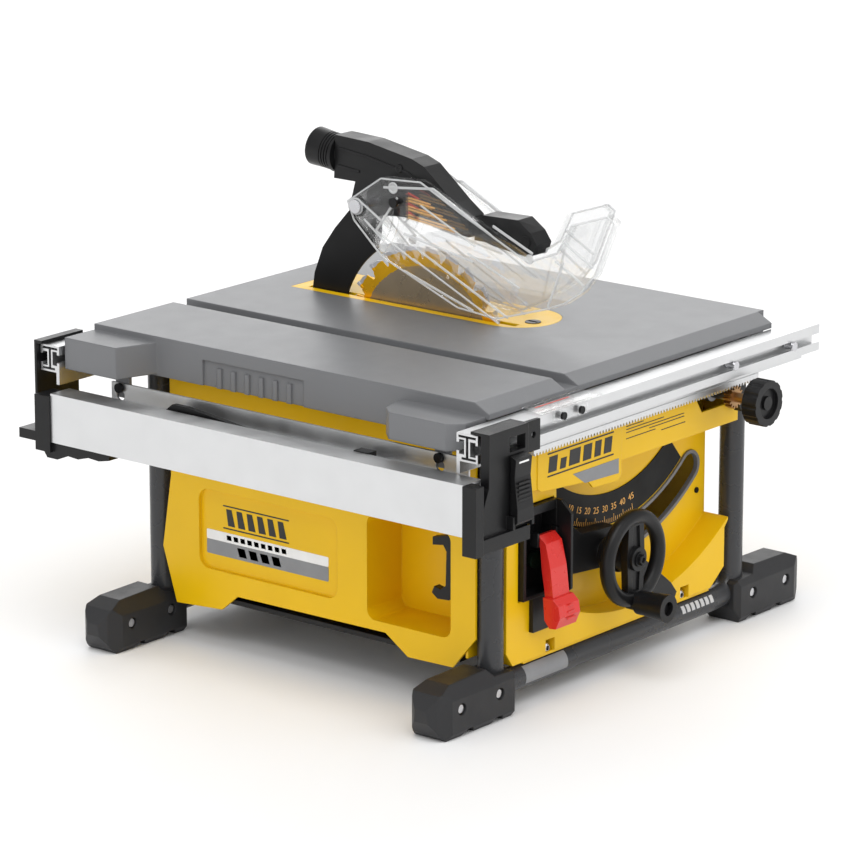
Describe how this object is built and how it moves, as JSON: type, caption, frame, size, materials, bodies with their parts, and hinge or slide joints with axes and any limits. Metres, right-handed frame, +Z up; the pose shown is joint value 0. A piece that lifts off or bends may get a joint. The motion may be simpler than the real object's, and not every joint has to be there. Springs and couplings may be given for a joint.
{
  "type": "compact table saw",
  "caption": "Compact bench table saw on a bent-tube frame, with a clear-guarded tilting blade, crank handwheel, sliding side rails and a stored rip fence.",
  "frame": {"origin": "on the ground, under the middle of the bounding box", "axes": "+X to the operator's right along the rails, +Y to the back along the cut, +Z up"},
  "size_m": [0.62, 0.588, 0.4891],
  "materials": {
    "black_plastic": "moulded",
    "bronze": "machined",
    "cast_aluminium": "as cast",
    "clear": "clear moulded",
    "dark_steel": "satin black",
    "foot_rubber": "moulded",
    "green_plastic": "gloss",
    "grey_plastic": "moulded",
    "rail_aluminium": "satin",
    "red_plastic": "gloss",
    "scale_paint": "printed scale",
    "steel": "brushed",
    "table_metal": "painted satin grey casting",
    "throat_paint": "satin",
    "tube_paint": "satin",
    "yellow_plastic": "satin moulded"
  },
  "bodies": {
    "frame": {"table_top": "table_metal", "throat_plate": "throat_paint", "front_frame_tube": "tube_paint", "rear_frame_tube": "tube_paint", "feet": "foot_rubber", "foot_screws": "steel", "housing_shell": "yellow_plastic", "dust_outlet": "black_plastic", "floor_pan": "black_plastic", "front_panel": "yellow_plastic", "slot_trim": "grey_plastic", "bevel_scale": "scale_paint", "case_screws": "steel", "switch_box": "black_plastic", "electronics": "grey_plastic", "rail_guides": "cast_aluminium", "scale_cursor": "clear", "trunnion_brackets": "cast_aluminium", "fence_extrusion": "rail_aluminium", "fence_front_bracket": "black_plastic", "fence_rear_bracket": "black_plastic", "push_stick": "black_plastic", "storage_clips": "black_plastic"},
    "throat_lock": {"throat_lock_knob": "black_plastic"},
    "rails": {"front_rail": "rail_aluminium", "rear_rail": "rail_aluminium", "rail_pins": "steel"},
    "rail_drive": {"pinion_shaft": "steel", "fence_adjust_knob": "black_plastic"},
    "rail_lock": {"rail_lock_lever": "black_plastic"},
    "front_latch": {"fence_front_latch": "black_plastic"},
    "rear_latch": {"fence_rear_latch": "black_plastic"},
    "narrow_fence_body": {"narrow_fence": "rail_aluminium"},
    "paddle": {"stop_paddle": "red_plastic"},
    "button": {"start_button": "green_plastic"},
    "battery": {"battery_pack": "black_plastic"},
    "battery_button": {"battery_release": "yellow_plastic"},
    "tilting_frame": {"tilt_frame": "cast_aluminium", "guide_rods": "steel", "bevel_bracket": "black_plastic"},
    "bevel_lock": {"bevel_lock_lever": "black_plastic"},
    "wheel": {"handwheel": "black_plastic", "handwheel_shaft": "steel"},
    "crank": {"crank_knob": "black_plastic"},
    "screw": {"lift_screw": "steel"},
    "carriage": {"lift_carriage": "cast_aluminium", "carriage_bushings": "bronze", "gear_cover": "cast_aluminium", "motor_housing": "cast_aluminium", "riving_knife": "dark_steel", "guard_arm": "black_plastic", "guard_handle": "black_plastic", "guard_dust_port": "black_plastic"},
    "rotor": {"motor_rotor": "steel"},
    "blade": {"saw_blade": "steel", "arbor_shaft": "steel", "arbor_flanges": "steel"},
    "right_guard": {"guard_pin": "steel", "guard_right": "clear"},
    "left_guard": {"guard_left": "clear"}
  },
  "joints": [
    {"name": "throat_lock_turn", "type": "hinge", "parent": "frame", "child": "throat_lock", "pos_m": [0.049, -0.077, 0.317], "axis": [0, 0, 1], "range_deg": [0, 90]},
    {"name": "rail_extend", "type": "slide", "parent": "frame", "child": "rails", "axis": [1, 0, 0], "range_m": [0, 0.3]},
    {"name": "rail_drive_turn", "type": "hinge", "parent": "frame", "child": "rail_drive", "pos_m": [0.157, 0, 0.249], "axis": [0, 1, 0], "range_deg": [0, 1638.02]},
    {"name": "rail_lock_turn", "type": "hinge", "parent": "frame", "child": "rail_lock", "pos_m": [0.181, -0.236, 0.257], "axis": [0, -1, 0], "range_deg": [0, 50]},
    {"name": "front_latch_turn", "type": "hinge", "parent": "frame", "child": "front_latch", "pos_m": [-0.241, -0.2895, 0.221], "axis": [1, 0, 0], "range_deg": [0, 60]},
    {"name": "rear_latch_turn", "type": "hinge", "parent": "frame", "child": "rear_latch", "pos_m": [-0.247, 0.2923, 0.24], "axis": [-1, 0, 0], "range_deg": [0, 60]},
    {"name": "narrow_fence_lift", "type": "slide", "parent": "frame", "child": "narrow_fence_body", "axis": [0, 0, 1], "range_m": [0, 0.008]},
    {"name": "paddle_turn", "type": "hinge", "parent": "frame", "child": "paddle", "pos_m": [-0.124, -0.227, 0.165], "axis": [-1, 0, 0], "range_deg": [-4, 60], "stiffness_Nm_per_rad": 0.8},
    {"name": "start_press", "type": "slide", "parent": "frame", "child": "button", "axis": [0, 1, 0], "range_m": [0, 0.003], "stiffness_N_per_m": 400},
    {"name": "battery_slide", "type": "slide", "parent": "frame", "child": "battery", "axis": [1, 0, 0], "range_m": [0, 0.13]},
    {"name": "battery_release_press", "type": "slide", "parent": "battery", "child": "battery_button", "axis": [-1, 0, 0], "range_m": [0, 0.0025], "stiffness_N_per_m": 400},
    {"name": "blade_tilt", "type": "hinge", "parent": "frame", "child": "tilting_frame", "pos_m": [0.026, 0, 0.32], "axis": [0, -1, 0], "range_deg": [0, 45]},
    {"name": "bevel_lock_turn", "type": "hinge", "parent": "tilting_frame", "child": "bevel_lock", "pos_m": [-0.013, -0.226, 0.1218], "axis": [0, -1, 0], "range_deg": [0, 30]},
    {"name": "blade_raise", "type": "slide", "parent": "tilting_frame", "child": "carriage", "axis": [0, 0, 1], "range_m": [-0.065, 0]},
    {"name": "wheel_turn", "type": "hinge", "parent": "tilting_frame", "child": "wheel", "pos_m": [-0.013, -0.2, 0.1218], "axis": [0, 1, 0], "range_deg": [-2341, 1]},
    {"name": "crank_spin", "type": "hinge", "parent": "wheel", "child": "crank", "pos_m": [-0.013, -0.27, 0.0783], "axis": [0, 1, 0], "continuous": true},
    {"name": "screw_turn", "type": "hinge", "parent": "tilting_frame", "child": "screw", "pos_m": [-0.013, -0.085, 0.2], "axis": [0, 0, 1], "range_deg": [-2341, 1]},
    {"name": "rotor_spin", "type": "hinge", "parent": "carriage", "child": "rotor", "pos_m": [0, 0.0703, 0.2584], "axis": [1, 0, 0], "continuous": true},
    {"name": "blade_spin", "type": "hinge", "parent": "carriage", "child": "blade", "pos_m": [0.026, 0.0415, 0.28], "axis": [1, 0, 0], "continuous": true},
    {"name": "guard_swing", "type": "hinge", "parent": "carriage", "child": "right_guard", "pos_m": [0.026, 0.114, 0.4196], "axis": [1, 0, 0], "range_deg": [-32.6, 0.1]},
    {"name": "left_guard_turn", "type": "hinge", "parent": "right_guard", "child": "left_guard", "pos_m": [0.026, 0.114, 0.4196], "axis": [1, 0, 0], "range_deg": [-27.6, 0.1]}
  ],
  "couplings": [
    {"joint": "rail_drive_turn", "follows": "rail_extend", "rad_per_m": 95.238},
    {"joint": "wheel_turn", "follows": "blade_raise", "rad_per_m": 628.32},
    {"joint": "screw_turn", "follows": "blade_raise", "rad_per_m": 628.32},
    {"joint": "guard_swing", "follows": "blade_raise", "rad_per_m": 8.727},
    {"joint": "left_guard_turn", "follows": "blade_tilt", "ratio": -0.611},
    {"joint": "rotor_spin", "follows": "blade_spin", "ratio": -2}
  ]
}
